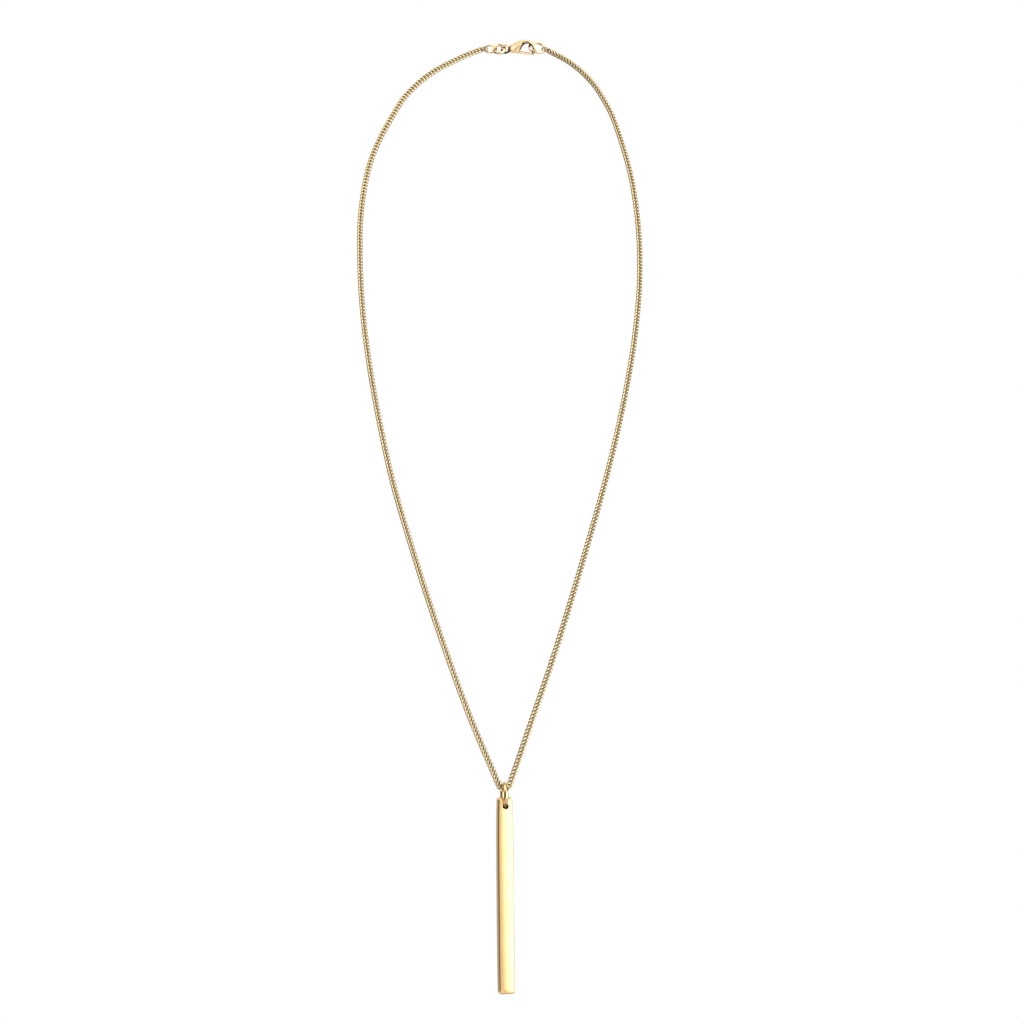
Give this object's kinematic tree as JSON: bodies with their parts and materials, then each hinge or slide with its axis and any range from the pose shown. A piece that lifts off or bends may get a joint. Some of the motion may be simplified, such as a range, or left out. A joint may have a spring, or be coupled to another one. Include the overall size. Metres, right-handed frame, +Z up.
{
  "type": "bar pendant on a chain",
  "caption": "Slim vertical bar hanging from a bail ring on a fine curb chain, closed at the nape by a lobster clasp. Held in the form it has when worn.",
  "frame": {"origin": "the middle of the clasp's eye at the top of the loop, where the necklace hangs at the nape", "axes": "+Z up, from the pendant towards the nape; the front of the bar faces -Y; +X runs along the clasp from its eye to its hook"},
  "size_m": [0.0816, 0.0794, 0.2692],
  "materials": {
    "bar_gold": "high polish yellow gold",
    "chain_gold": "polished yellow gold links",
    "ring_gold": "polished yellow gold wire",
    "clasp_gold": "polished cast yellow gold"
  },
  "bodies": {
    "necklace": {"chain_left": "chain_gold", "chain_right": "chain_gold", "end_ring": "ring_gold", "clasp_ring": "ring_gold", "clasp_body": "clasp_gold", "clasp_pin": "clasp_gold", "catch_ring": "ring_gold"},
    "lever": {"clasp_lever": "clasp_gold"},
    "bail": {"bail_ring": "ring_gold"},
    "pendant": {"bar": "bar_gold"}
  },
  "joints": [
    {"name": "clasp_opens", "type": "hinge", "parent": "necklace", "child": "lever", "pos_m": [0.00225, 0.00015, -0.00042], "axis": [0, -0.9397, -0.342], "range_deg": [0, 14], "stiffness_Nm_per_rad": 0.0005, "springref_deg": -17.19},
    {"name": "bail_swings", "type": "hinge", "parent": "necklace", "child": "bail", "pos_m": [-0.0001, -0.074, -0.2118], "axis": [0.9863, 0.165, 0], "range_deg": [-75, 75]},
    {"name": "bar_swings", "type": "hinge", "parent": "bail", "child": "pendant", "pos_m": [-0.0001, -0.074, -0.21646], "axis": [-0.2164, 0.9763, 0], "range_deg": [-75, 75]}
  ]
}
